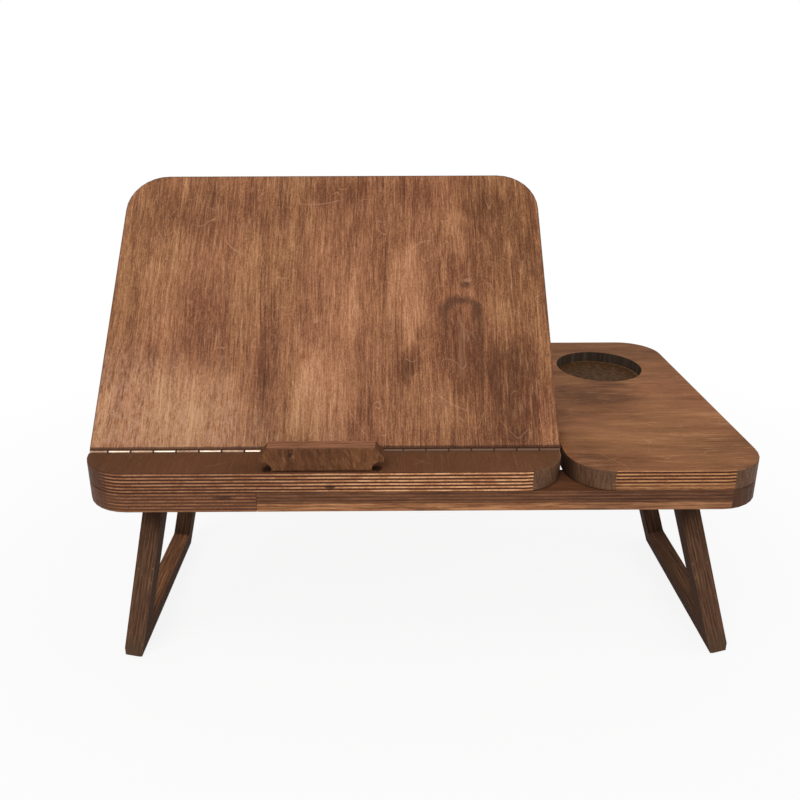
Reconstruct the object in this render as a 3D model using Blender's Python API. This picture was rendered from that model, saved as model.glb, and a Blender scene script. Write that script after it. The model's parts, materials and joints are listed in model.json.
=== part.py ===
"""Folding laptop table of stained birch plywood: tilting laptop panel, front bar with a lip, side panel
with a cup recess, a second plywood layer below, a prop behind the panel and two splayed leg frames.

Metres, +Z up, feet on z = 0, the sitter on the -Y side, the side panel towards +X.
"""
import math

import bmesh
import bpy
from mathutils import Matrix, Vector

# Table and boards
table_width = 0.580
table_depth = 0.323
board = 0.018
underside_height = 0.204
corner_radius = 0.041
arris = 0.0006

# Clearances: between pieces that touch, and how far a cutter runs past what it cuts
fit_gap = 0.0003
overrun = 0.002

# Front bar, laptop panel and side panel, which share the upper layer
hinge_line = 0.0390
bar_end_radius = 0.0365
bar_end_inset = 0.0013
panel_corner_radius = 0.039
panel_tilt = math.radians(49.0)
side_gap = 0.0015
side_width = 0.1685
side_front_radius = 0.0365

# Cup recess, measured from the table's right and rear edges
cup_radius = 0.0464
cup_depth = 0.011
cup_from_right = 0.0832
cup_from_rear = 0.0815

# Lower layer: butt seam and window under the laptop panel
seam_from_left = 0.150
front_rail_depth = 0.0375
rear_rail_depth = 0.034
window_right_overlap = 0.009
window_fillet = 0.006

# Lip on the front bar
lip_width = 0.1026
lip_height = 0.022
lip_thickness = 0.0135
lip_setback = 0.0015
lip_chamfer = 0.0070
lip_chamfer_height = 0.0082
lip_scoop_radius = 0.0080
lip_scoop_inset = 0.0022
lip_rounding = 0.0018

# Rolled strip hinge, the same section everywhere
hinge_pin_radius = 0.0006
hinge_leaf_thickness = 0.0005
hinge_leaf_width = 0.0135
knuckle_pitch = 0.0197
knuckle_gap = 0.0006
hinge_end_gap = 0.0010
first_knuckle_share = 0.80
leg_hinge_knuckles = 7
prop_hinge_knuckles = 7
panel_hinge_screw_count = 5
leg_hinge_screw_count = 2
prop_hinge_screw_count = 2

# Screws and dowels
leaf_screw_head_radius = 0.0021
leaf_screw_shank_radius = 0.0010
leaf_screw_length = 0.011
prop_screw_length = 0.0055
layer_screw_head_radius = 0.0038
layer_screw_shank_radius = 0.0018
layer_screw_length = 0.030
layer_screw_edge = 0.035
dowel_radius = 0.003
lip_dowel_length = 0.020
lip_dowel_edge = 0.025
base_dowel_radius = 0.004
base_dowel_length = 0.036

# Prop behind the laptop panel, and the racks that its foot stands on
prop_thickness = 0.0065
prop_pivot_share = 0.40
prop_end_clearance = 0.007
prop_side_clearance = 0.003
rack_width = 0.022
rack_lead = 0.010
tooth_pitch = 0.009
tooth_depth = 0.003

# Leg frames
leg_splay_left = math.radians(12.5)
leg_splay_right = math.radians(16.8)
leg_inset_left = 0.0591
leg_inset_right = 0.0615
leg_frame_depth = 0.196
leg_thickness = 0.018
leg_upright = 0.023
leg_top_rail = 0.028
leg_bottom_rail = 0.026
leg_inner_fillet = 0.003
foot_flat = 0.003
foot_trim = 0.008

# Sizes that follow from those above
hinge_barrel = hinge_pin_radius + fit_gap + hinge_leaf_thickness
hinge_offset = hinge_barrel + fit_gap
base_bottom = underside_height
base_top = base_bottom + board
upper_bottom = base_top + fit_gap
table_top = upper_bottom + board
leg_axis_height = base_bottom - hinge_offset
front_edge = -table_depth / 2
rear_edge = table_depth / 2
hinge_y = front_edge + hinge_line
panel_width = table_width - side_gap - side_width
corner_steps = 8


def leg_end(splay):
    """Length of a leg from its pin down to its square-cut end."""
    below_floor = foot_flat * math.sin(splay) * math.cos(splay)
    return (leg_axis_height + below_floor + hinge_offset * math.sin(splay)) / math.cos(splay)


def leg_reach(splay):
    """How far a foot stands out sideways from its pin."""
    outer_face = hinge_offset + leg_thickness
    return outer_face * math.cos(splay) + (leg_end(splay) - foot_trim) * math.sin(splay)


def foot_overhang(splay, inset):
    return max(0, leg_reach(splay) - inset)


# The frame's origin is the middle of everything, and the two legs do not splay alike
left_overhang = foot_overhang(leg_splay_left, leg_inset_left)
right_overhang = foot_overhang(leg_splay_right, leg_inset_right)
table_centre = (left_overhang - right_overhang) / 2
left_edge = table_centre - table_width / 2
right_edge = table_centre + table_width / 2
panel_right = left_edge + panel_width
side_left = panel_right + side_gap
window_left = left_edge + seam_from_left + fit_gap
window_right = side_left + window_right_overlap
window_front = front_edge + front_rail_depth
window_rear = rear_edge - rear_rail_depth
prop_room = window_rear - hinge_y
prop_pivot_from_hinge = prop_pivot_share * prop_room
prop_length = prop_room - prop_pivot_from_hinge - prop_end_clearance


def clear_scene():
    for item in list(bpy.data.objects):
        bpy.data.objects.remove(item, do_unlink=True)


def material(name, colour, roughness, metallic):
    made = bpy.data.materials.new(name)
    made.use_nodes = True
    shader = made.node_tree.nodes["Principled BSDF"]
    shader.inputs["Base Color"].default_value = (*colour, 1)
    shader.inputs["Roughness"].default_value = roughness
    shader.inputs["Metallic"].default_value = metallic
    return made


def stained_ply(name):
    return material(name, (0.20, 0.095, 0.045), 0.5, 0)


def dark_stained_ply(name):
    return material(name, (0.075, 0.034, 0.018), 0.55, 0)


def raw_beech(name):
    return material(name, (0.55, 0.38, 0.22), 0.6, 0)


def brass(name):
    return material(name, (0.78, 0.56, 0.28), 0.32, 1)


def zinc(name):
    return material(name, (0.62, 0.60, 0.56), 0.38, 1)


def add_object(name, bm, finish, parent=None, place=None):
    """Turns a bmesh into a named object, set at a place in its parent's frame."""
    bmesh.ops.recalc_face_normals(bm, faces=bm.faces)
    mesh = bpy.data.meshes.new(name)
    bm.to_mesh(mesh)
    bm.free()
    mesh.shade_smooth()
    mesh.set_sharp_from_angle(angle=math.radians(32))
    made = bpy.data.objects.new(name, mesh)
    bpy.context.scene.collection.objects.link(made)
    if finish:
        mesh.materials.append(finish)
    made.parent = parent
    if place:
        made.location = place.to_translation()
        made.rotation_euler = place.to_euler()
    return made


def add_pivot(name, location, rotation, parent=None):
    """An empty on a joint's axis, which carries what turns there."""
    pivot = bpy.data.objects.new(name, None)
    bpy.context.scene.collection.objects.link(pivot)
    pivot.parent = parent
    pivot.location = location
    pivot.rotation_euler = rotation
    return pivot


def cut(target, bm, parent=None, place=None):
    """Subtracts a closed bmesh from an object by a Boolean with a hidden cutter."""
    cutter = add_object(target.name + "_cutter", bm, None, parent, place)
    cutter.hide_render = True
    cutter.display_type = "WIRE"
    step = target.modifiers.new("Cut", "BOOLEAN")
    step.operation = "DIFFERENCE"
    step.solver = "EXACT"
    step.object = cutter


def axes_place(origin, x_axis, y_axis, z_axis):
    """Placement whose local axes lie along three given directions."""
    turn = Matrix((x_axis, y_axis, z_axis)).transposed()
    return Matrix.Translation(origin) @ turn.to_4x4()


def arc(centre, radius, start, end, steps=corner_steps):
    """Points on an arc, from one angle to the other in degrees."""
    points = []
    for i in range(steps + 1):
        angle = math.radians(start + (end - start) * i / steps)
        points.append((centre[0] + radius * math.cos(angle), centre[1] + radius * math.sin(angle)))
    return points


def prism(outline, low, high, to_space):
    """A closed bmesh: an outline in two axes, extruded from low to high along the third."""
    bm = bmesh.new()
    face = bm.faces.new([bm.verts.new(to_space(a, b, low)) for a, b in outline])
    grown = bmesh.ops.extrude_face_region(bm, geom=[face])
    moved = [item for item in grown["geom"] if isinstance(item, bmesh.types.BMVert)]
    travel = Vector(to_space(0, 0, high)) - Vector(to_space(0, 0, low))
    bmesh.ops.translate(bm, verts=moved, vec=travel)
    return bm


def flat_space(a, b, c):
    return (a, b, c)


def side_space(a, b, c):
    """Outline in Y and Z, extruded along X."""
    return (c, a, b)


def front_space(a, b, c):
    """Outline in X and Z, extruded along Y."""
    return (a, c, b)


def box(x, y, z):
    """A closed box bmesh from three (low, high) pairs."""
    outline = [(x[0], y[0]), (x[1], y[0]), (x[1], y[1]), (x[0], y[1])]
    return prism(outline, z[0], z[1], flat_space)


def ease_arrises(bm, axis, size=arris, steps=1):
    """Takes the sharp arrises off both faces of a board whose thickness lies along an axis."""
    edges = [edge for edge in bm.edges if abs((edge.verts[0].co - edge.verts[1].co)[axis]) < arris]
    bmesh.ops.bevel(bm, geom=edges, offset=size, segments=steps, profile=0.5, affect="EDGES")


def board_from(name, outline, low, high, finish):
    """A plywood board lying flat, cut to an outline, with eased arrises."""
    bm = prism(outline, low, high, flat_space)
    ease_arrises(bm, 2)
    return add_object(name, bm, finish)


def turned(bm, profile, place, sides):
    """Adds a closed turned solid: rings of (radius, distance) along the placement's Z axis."""
    rings = []
    for radius, along in profile:
        if radius == 0:
            rings.append([bm.verts.new(place @ Vector((0, 0, along)))])
            continue
        ring = []
        for i in range(sides):
            angle = 2 * math.pi * i / sides
            spot = Vector((radius * math.cos(angle), radius * math.sin(angle), along))
            ring.append(bm.verts.new(place @ spot))
        rings.append(ring)
    for lower, upper in zip(rings, rings[1:]):
        for i in range(sides):
            j = (i + 1) % sides
            if len(upper) == 1:
                bm.faces.new((lower[i], lower[j], upper[0]))
            else:
                bm.faces.new((lower[i], lower[j], upper[j], upper[i]))
    bm.faces.new(rings[0])
    if len(rings[-1]) > 1:
        bm.faces.new(rings[-1])


def screw_profile(head, shank, length):
    """Countersunk screw with a pointed end, its head flush at zero."""
    cone = head - shank
    return [(head, 0), (shank, cone), (shank, length - cone), (0, length)]


def screw_hole_profile(head, shank, length):
    cone = head - shank
    wide = head + fit_gap
    narrow = shank + fit_gap
    return [(wide, -overrun), (wide, 0), (narrow, cone), (narrow, length + fit_gap)]


def add_copies(name, bm, places, finish, parent=None):
    """Turns a bmesh into numbered objects that share one mesh, one at each place."""
    first = add_object(name + "_1", bm, finish, parent, places[0])
    for number, place in enumerate(places[1:], 2):
        copy = bpy.data.objects.new(f"{name}_{number}", first.data)
        bpy.context.scene.collection.objects.link(copy)
        copy.parent = parent
        copy.location = place.to_translation()
        copy.rotation_euler = place.to_euler()


def add_screws(name, places, head, shank, length, finish, parent=None):
    bm = bmesh.new()
    turned(bm, screw_profile(head, shank, length), Matrix.Identity(4), 8)
    add_copies(name, bm, places, finish, parent)


def drill_screws(target, places, head, shank, length, parent=None):
    bm = bmesh.new()
    for place in places:
        turned(bm, screw_hole_profile(head, shank, length), place, 8)
    cut(target, bm, parent)


def add_dowels(name, places, radius, length, finish):
    """Round dowels, each centred on its place and along its Z axis."""
    bm = bmesh.new()
    turned(bm, [(radius, -length / 2), (radius, length / 2)], Matrix.Identity(4), 10)
    add_copies(name, bm, places, finish)


def drill_dowels(targets, places, radius, length):
    reach = length / 2 + fit_gap
    wide = radius + fit_gap
    for target in targets:
        bm = bmesh.new()
        for place in places:
            turned(bm, [(wide, -reach), (wide, reach)], place, 10)
        cut(target, bm)


def knuckle_spans(length, lead):
    """Where each knuckle of a strip hinge starts and ends along its pin."""
    spans = [(0, lead)]
    while spans[-1][1] < length - knuckle_gap:
        start = spans[-1][1]
        spans.append((start, min(start + knuckle_pitch, length)))
    return spans


def leaf_outline():
    """Section of a leaf: a flat strip whose edge is rolled round the pin."""
    bore = hinge_barrel - hinge_leaf_thickness
    outer = arc((0, 0), hinge_barrel, 90, 360, 10)
    inner = arc((0, 0), bore, 360, 90, 10)
    return [(hinge_leaf_width, hinge_barrel)] + outer + inner + [(hinge_leaf_width, bore)]


def notch_outline():
    far = hinge_barrel + overrun
    near = hinge_offset
    return [(-far, -far), (near, -far), (near, far), (-far, far)]


def leaf_screw_places(length, count, place):
    """Screws in a leaf, driven from its inner face into the board that it lies on."""
    inner_face = hinge_barrel - hinge_leaf_thickness
    middle = (hinge_offset + hinge_leaf_width) / 2
    spots = [(length * (i + 0.5) / count, middle, inner_face) for i in range(count)]
    return [place @ Matrix.Translation(spot) for spot in spots]


def hinge_leaf(name, length, lead, parity, reverse, place, parent, screw_places, finish):
    """One leaf of a strip hinge. It keeps every other knuckle and is notched for the rest."""
    bm = prism(leaf_outline(), 0, length, side_space)
    leaf = add_object(name, bm, finish, parent, place)
    notches = bmesh.new()
    for index, (start, end) in enumerate(knuckle_spans(length, lead)):
        if index % 2 == parity:
            continue
        low = start - knuckle_gap / 2 if start > 0 else -overrun
        high = end + knuckle_gap / 2 if end < length else length + overrun
        if reverse:
            low, high = length - high, length - low
        add_block(notches, notch_outline(), low, high)
    cut(leaf, notches, parent, place)
    drill_screws(leaf, screw_places, leaf_screw_head_radius, leaf_screw_shank_radius,
                 leaf_screw_length, parent)
    return leaf


def add_block(bm, outline, low, high):
    """Adds one closed block to a bmesh, its outline in Y and Z, extruded along X."""
    block = prism(outline, low, high, side_space)
    mesh = bpy.data.meshes.new("block")
    block.to_mesh(mesh)
    block.free()
    bm.from_mesh(mesh)
    bpy.data.meshes.remove(mesh)


def hinge_pin(name, length, centre, axis, parent, finish):
    """A plain wire pin through all the knuckles of a hinge."""
    bm = bmesh.new()
    turn = Vector((0, 0, 1)).rotation_difference(Vector(axis)).to_matrix().to_4x4()
    ends = [(hinge_pin_radius, -length / 2), (hinge_pin_radius, length / 2)]
    turned(bm, ends, Matrix.Translation(centre) @ turn, 10)
    return add_object(name, bm, finish, parent)


def base_left_board(finish):
    """Lower layer, left board: two rounded outer corners and a plain butt edge."""
    r = corner_radius
    seam = left_edge + seam_from_left
    outline = [(seam, front_edge), (seam, rear_edge)]
    outline += arc((left_edge + r, rear_edge - r), r, 90, 180)
    outline += arc((left_edge + r, front_edge + r), r, 180, 270)
    return board_from("base_left_board", outline, base_bottom, base_top, finish)


def base_right_board(finish):
    """Lower layer, right board: C-shaped, its arms reach round the window to the seam."""
    r = corner_radius
    f = window_fillet
    outline = [(window_left, front_edge)]
    outline += arc((right_edge - r, front_edge + r), r, 270, 360)
    outline += arc((right_edge - r, rear_edge - r), r, 0, 90)
    outline += [(window_left, rear_edge), (window_left, window_rear)]
    outline += arc((window_right - f, window_rear - f), f, 90, 0, 4)
    outline += arc((window_right - f, window_front + f), f, 0, -90, 4)
    outline += [(window_left, window_front)]
    return board_from("base_right_board", outline, base_bottom, base_top, finish)


def join_base_boards(left, right, finish):
    """A dowel across the seam in each arm of the C-shaped board."""
    seam = left_edge + seam_from_left + fit_gap / 2
    middle = (base_bottom + base_top) / 2
    arms = (front_edge + front_rail_depth / 2, rear_edge - rear_rail_depth / 2)
    along_x = Matrix.Rotation(math.radians(90), 4, "Y")
    places = [Matrix.Translation((seam, y, middle)) @ along_x for y in arms]
    add_dowels("base_dowel", places, base_dowel_radius, base_dowel_length, finish)
    drill_dowels((left, right), places, base_dowel_radius, base_dowel_length)


def bar_corner(edge, radius, side, rear):
    """A rounded front corner of the bar, from the front edge outwards, cut off where it meets the rear edge."""
    dip = max(0, front_edge + radius - rear)
    turn = 90 - math.degrees(math.asin(dip / radius))
    points = arc((edge - side * radius, front_edge + radius), radius, 270, 270 + side * turn)
    return points if dip else points + [(edge, rear)]


def front_bar(finish):
    """Upper layer in front of the hinge: left corner as the table's, right end well rounded."""
    rear = hinge_y - hinge_offset
    left = bar_corner(left_edge, corner_radius, -1, rear)
    right = bar_corner(panel_right - bar_end_inset, bar_end_radius, 1, rear)
    outline = list(reversed(left)) + right
    return board_from("front_bar", outline, upper_bottom, table_top, finish)


def side_panel(finish):
    """Upper layer on the right, its front left corner rounded away from the bar, with the cup recess."""
    r = corner_radius
    s = side_front_radius
    p = panel_corner_radius
    outline = arc((side_left + s, front_edge + s), s, 180, 270)
    outline += arc((right_edge - r, front_edge + r), r, 270, 360)
    outline += arc((right_edge - r, rear_edge - r), r, 0, 90)
    outline += arc((side_left + p, rear_edge - p), p, 90, 180)
    panel = board_from("side_panel", outline, upper_bottom, table_top, finish)
    recess = bmesh.new()
    spot = Matrix.Translation((right_edge - cup_from_right, rear_edge - cup_from_rear, table_top))
    turned(recess, [(cup_radius, -cup_depth), (cup_radius, overrun)], spot, 40)
    cut(panel, recess)
    return panel


def layer_screw_places():
    """Screws up through the lower layer: one near each end of the bar and each side panel corner."""
    bar_y = (front_edge + hinge_y) / 2
    inset = layer_screw_edge
    spots = [(x, bar_y) for x in (left_edge + inset, panel_right - inset)]
    for x in (side_left + inset, right_edge - inset):
        spots += [(x, front_edge + inset), (x, rear_edge - inset)]
    return [Matrix.Translation((x, y, base_bottom)) for x, y in spots]


def join_layers(lower, upper, finish):
    places = layer_screw_places()
    sizes = (layer_screw_head_radius, layer_screw_shank_radius, layer_screw_length)
    add_screws("layer_screw", places, *sizes, finish)
    for target in lower + upper:
        drill_screws(target, places, *sizes)


def lip_outline():
    """Front outline of the lip: chamfered top corners, short cheeks, a scoop at each lower corner."""
    half = lip_width / 2
    r = lip_scoop_radius
    foot = half - lip_scoop_inset - r
    right = [(foot, 0)]
    right += arc((half - lip_scoop_inset, 0), r, 180, 90, 5)[1:]
    right += [(half, r), (half, lip_height - lip_chamfer_height), (half - lip_chamfer, lip_height)]
    left = [(-x, z) for x, z in reversed(right)]
    return right + left


def lip_stop(bar, finish, dowel_finish):
    """The lip stands on the front bar on two dowels."""
    centre = left_edge + panel_width / 2
    front = front_edge + lip_setback
    bm = prism(lip_outline(), front, front + lip_thickness, front_space)
    ease_arrises(bm, 1, lip_rounding, 3)
    lip = add_object("lip_stop", bm, finish, place=Matrix.Translation((centre, 0, table_top + fit_gap)))
    middle = front + lip_thickness / 2
    reach = lip_width / 2 - lip_dowel_edge
    places = [Matrix.Translation((centre + x, middle, table_top)) for x in (-reach, reach)]
    add_dowels("lip_dowel", places, dowel_radius, lip_dowel_length, dowel_finish)
    drill_dowels((lip, bar), places, dowel_radius, lip_dowel_length)
    return lip


def laptop_panel(pivot, finish):
    """The tilting panel, drawn lying flat behind its hinge, with rounded rear corners."""
    r = panel_corner_radius
    half = panel_width / 2
    front = hinge_offset
    rear = rear_edge - hinge_y
    outline = [(-half, front), (half, front)]
    outline += arc((half - r, rear - r), r, 0, 90)
    outline += arc((r - half, rear - r), r, 90, 180)
    bm = prism(outline, -board, 0, flat_space)
    ease_arrises(bm, 2)
    return add_object("laptop_panel", bm, finish, pivot)


def panel_hinge(bar, panel, pivot, leaf_finish, pin_finish, screw_finish):
    """Piano hinge over the full width, its leaves on the facing edges of bar and panel."""
    length = panel_width - 2 * hinge_end_gap
    lead = knuckle_pitch * first_knuckle_share
    half = length / 2
    centre = pivot.location
    count = panel_hinge_screw_count
    bar_place = axes_place(centre + Vector((half, 0, 0)), (-1, 0, 0), (0, 0, -1), (0, -1, 0))
    bar_screws = leaf_screw_places(length, count, bar_place)
    hinge_leaf("panel_hinge_bar_leaf", length, lead, 0, True, bar_place, None, bar_screws, leaf_finish)
    panel_place = axes_place((-half, 0, 0), (1, 0, 0), (0, 0, -1), (0, 1, 0))
    panel_screws = leaf_screw_places(length, count, panel_place)
    hinge_leaf("panel_hinge_panel_leaf", length, lead, 1, False, panel_place, pivot, panel_screws,
               leaf_finish)
    hinge_pin("panel_hinge_pin", length, centre, (1, 0, 0), None, pin_finish)
    sizes = (leaf_screw_head_radius, leaf_screw_shank_radius, leaf_screw_length)
    add_screws("panel_hinge_bar_screw", bar_screws, *sizes, screw_finish)
    add_screws("panel_hinge_panel_screw", panel_screws, *sizes, screw_finish, pivot)
    drill_screws(bar, bar_screws, *sizes)
    drill_screws(panel, panel_screws, *sizes, pivot)


def prop_foot_offset():
    """Foot's round end seen from the prop's pin: along the prop, and below it."""
    radius = prop_thickness / 2
    return prop_length - radius, hinge_offset + radius


def foot_height(tilt, lean):
    """Height of the foot's centre over the panel's pin, at a panel tilt and a prop lean below level."""
    along, below = prop_foot_offset()
    pin_drop = board + hinge_offset
    pin_height = prop_pivot_from_hinge * math.sin(tilt) - pin_drop * math.cos(tilt)
    return pin_height - along * math.sin(lean) - below * math.cos(lean)


def folded_foot_height():
    return foot_height(0, 0)


def rest_lean():
    """Lean of the prop at which its foot stands as high as it lies when folded."""
    along, below = prop_foot_offset()
    drop = foot_height(panel_tilt, 0) + below - folded_foot_height()
    return math.asin(drop / math.hypot(along, below)) - math.atan2(below, along)


prop_fold = panel_tilt + rest_lean()


def lowest_foot_height(steps=48):
    """Lowest height of the foot's underside on the way from folded to raised."""
    lowest = 0
    for i in range(steps + 1):
        tilt = panel_tilt * i / steps
        lean = prop_fold * i / steps - tilt
        lowest = min(lowest, foot_height(tilt, lean) - prop_thickness / 2)
    return lowest


def foot_rest_y():
    """Distance of the foot's centre behind the panel's pin, with the panel raised."""
    along, below = prop_foot_offset()
    pin_drop = board + hinge_offset
    lean = rest_lean()
    pin_y = prop_pivot_from_hinge * math.cos(panel_tilt) + pin_drop * math.sin(panel_tilt)
    return pin_y + along * math.cos(lean) - below * math.sin(lean)


def prop_edges():
    """Left and right edges of the prop, between the seam and the side panel."""
    return window_left + prop_side_clearance, panel_right - prop_side_clearance


def prop_board(prop_pivot, finish):
    """A plywood flap with a round foot, drawn folded flat under the panel."""
    along, below = prop_foot_offset()
    left, right = prop_edges()
    half = (right - left) / 2
    high = -hinge_offset
    low = high - prop_thickness
    outline = [(0, low)] + arc((along, -below), prop_thickness / 2, -90, 90, 8) + [(0, high)]
    bm = prism(outline, -half, half, side_space)
    return add_object("prop_board", bm, finish, prop_pivot)


def prop_hinge(panel, prop, pivot, prop_pivot, leaf_finish, pin_finish, screw_finish):
    """Strip hinge between the panel's underside and the prop."""
    length = knuckle_pitch * prop_hinge_knuckles
    half = length / 2
    centre = prop_pivot.location
    count = prop_hinge_screw_count
    upper_place = axes_place(centre + Vector((-half, 0, 0)), (1, 0, 0), (0, 1, 0), (0, 0, 1))
    upper_screws = leaf_screw_places(length, count, upper_place)
    lower_place = axes_place((half, 0, 0), (-1, 0, 0), (0, 1, 0), (0, 0, -1))
    lower_screws = leaf_screw_places(length, count, lower_place)
    hinge_leaf("prop_hinge_panel_leaf", length, knuckle_pitch, 0, False, upper_place, pivot,
               upper_screws, leaf_finish)
    hinge_leaf("prop_hinge_prop_leaf", length, knuckle_pitch, 1, True, lower_place, prop_pivot,
               lower_screws, leaf_finish)
    hinge_pin("prop_hinge_pin", length, centre, (1, 0, 0), pivot, pin_finish)
    head, shank = leaf_screw_head_radius, leaf_screw_shank_radius
    add_screws("prop_hinge_panel_screw", upper_screws, head, shank, leaf_screw_length,
               screw_finish, pivot)
    add_screws("prop_hinge_prop_screw", lower_screws, head, shank, prop_screw_length,
               screw_finish, prop_pivot)
    drill_screws(panel, upper_screws, head, shank, leaf_screw_length, pivot)
    drill_screws(prop, lower_screws, head, shank, prop_screw_length, prop_pivot)


def rack_outline():
    """Saw-toothed strip: each tooth stops the foot from sliding back, and slopes away behind."""
    tip = table_top + lowest_foot_height() - fit_gap
    valley = tip - tooth_depth
    first = hinge_y + foot_rest_y() + prop_thickness / 2 + fit_gap
    end = window_rear - window_fillet - fit_gap
    outline = [(first - rack_lead, base_bottom), (first - rack_lead, valley)]
    tooth = first
    while tooth + tooth_pitch < end:
        outline += [(tooth, valley), (tooth, tip)]
        tooth += tooth_pitch
    return outline + [(tooth, valley), (end, valley), (end, base_bottom)]


def racks(finish):
    """Two racks glued to the window's sides, under the ends of the prop's foot."""
    spans = {"rack_left": (window_left, window_left + rack_width),
             "rack_right": (window_right - fit_gap - rack_width - window_right_overlap,
                            window_right - fit_gap)}
    for name, (left, right) in spans.items():
        add_object(name, prism(rack_outline(), left, right, side_space), finish)


def slice_off(bm, point, normal):
    """Removes what lies beyond a plane and closes the cut."""
    geom = bm.verts[:] + bm.edges[:] + bm.faces[:]
    done = bmesh.ops.bisect_plane(bm, geom=geom, plane_co=point, plane_no=normal, clear_outer=True)
    rim = [item for item in done["geom_cut"] if isinstance(item, bmesh.types.BMEdge)]
    bmesh.ops.edgeloop_fill(bm, edges=rim)


def leg_window_outline(low, high):
    half = leg_frame_depth / 2 - leg_upright
    f = leg_inner_fillet
    outline = arc((half - f, low + f), f, -90, 0, 3)
    outline += arc((half - f, high - f), f, 0, 90, 3)
    outline += arc((f - half, high - f), f, 90, 180, 3)
    return outline + arc((f - half, low + f), f, 180, 270, 3)


def leg_frame(name, side, splay, pivot, finish):
    """A closed frame cut from one board: bevelled top, square foot with a narrow flat on the floor."""
    half = leg_frame_depth / 2
    end = leg_end(splay)
    inner = hinge_offset
    outer = inner + leg_thickness
    low, high = sorted((side * inner, side * outer))
    outline = [(-half, -end), (half, -end), (half, leg_thickness), (-half, leg_thickness)]
    bm = prism(outline, low, high, side_space)
    up = Vector((side * math.sin(splay), 0, math.cos(splay)))
    out = Vector((side * math.cos(splay), 0, -math.sin(splay)))
    slice_off(bm, up * hinge_barrel, up)
    slice_off(bm, up * -leg_axis_height, -up)
    slice_off(bm, Vector((side * outer, 0, foot_trim - end)), out)
    frame = add_object(name, bm, finish, pivot)
    window = prism(leg_window_outline(leg_bottom_rail - end, -leg_top_rail), low - overrun, high + overrun,
                   side_space)
    cut(frame, window, pivot)
    return frame


def leg_hinge(name, side, frame, base, pivot, leaf_finish, pin_finish, screw_finish):
    """Strip hinge between the base's underside and the leg's inner face."""
    length = knuckle_pitch * leg_hinge_knuckles
    half = length / 2
    centre = pivot.location
    count = leg_hinge_screw_count
    base_place = axes_place(centre + Vector((0, -side * half, 0)), (0, side, 0), (-side, 0, 0), (0, 0, 1))
    base_screws = leaf_screw_places(length, count, base_place)
    leg_place = axes_place((0, side * half, 0), (0, -side, 0), (0, 0, -1), (side, 0, 0))
    leg_screws = leaf_screw_places(length, count, leg_place)
    hinge_leaf(name + "_base_leaf", length, knuckle_pitch, 0, False, base_place, None, base_screws,
               leaf_finish)
    hinge_leaf(name + "_leaf", length, knuckle_pitch, 1, True, leg_place, pivot, leg_screws, leaf_finish)
    hinge_pin(name + "_pin", length, centre, (0, 1, 0), None, pin_finish)
    sizes = (leaf_screw_head_radius, leaf_screw_shank_radius, leaf_screw_length)
    add_screws(name + "_base_screw", base_screws, *sizes, screw_finish)
    add_screws(name + "_leaf_screw", leg_screws, *sizes, screw_finish, pivot)
    drill_screws(base, base_screws, *sizes)
    drill_screws(frame, leg_screws, *sizes, pivot)


def build():
    clear_scene()
    dark_brass = brass("hinge_brass")
    steel = zinc("pin_steel")
    screw_steel = zinc("screw_steel")
    dowel_wood = raw_beech("dowel_beech")

    left_board = base_left_board(dark_stained_ply("left_board_stain"))
    right_board = base_right_board(dark_stained_ply("right_board_stain"))
    join_base_boards(left_board, right_board, dowel_wood)
    bar = front_bar(dark_stained_ply("bar_stain"))
    side = side_panel(stained_ply("side_panel_stain"))
    join_layers([left_board, right_board], [bar, side], screw_steel)
    lip_stop(bar, dark_stained_ply("lip_stain"), dowel_wood)
    racks(dark_stained_ply("rack_stain"))

    pivot = add_pivot("panel_pivot", (left_edge + panel_width / 2, hinge_y, table_top), (panel_tilt, 0, 0))
    panel = laptop_panel(pivot, stained_ply("panel_stain"))
    panel_hinge(bar, panel, pivot, dark_brass, steel, screw_steel)

    prop_left, prop_right = prop_edges()
    prop_x = (prop_left + prop_right) / 2 - pivot.location.x
    prop_pin = (prop_x, prop_pivot_from_hinge, -board - hinge_offset)
    prop_pivot = add_pivot("prop_pivot", prop_pin, (-prop_fold, 0, 0), pivot)
    prop = prop_board(prop_pivot, stained_ply("prop_stain"))
    prop_hinge(panel, prop, pivot, prop_pivot, dark_brass, steel, screw_steel)

    legs = (("left_leg", -1, leg_splay_left, left_edge + leg_inset_left, left_board),
            ("right_leg", 1, leg_splay_right, right_edge - leg_inset_right, right_board))
    for name, hand, splay, x, base in legs:
        leg_pivot = add_pivot(name + "_pivot", (x, 0, leg_axis_height), (0, -hand * splay, 0))
        frame = leg_frame(name + "_frame", hand, splay, leg_pivot, dark_stained_ply(name + "_stain"))
        leg_hinge(name, hand, frame, base, leg_pivot, dark_brass, steel, screw_steel)


build()
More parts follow.
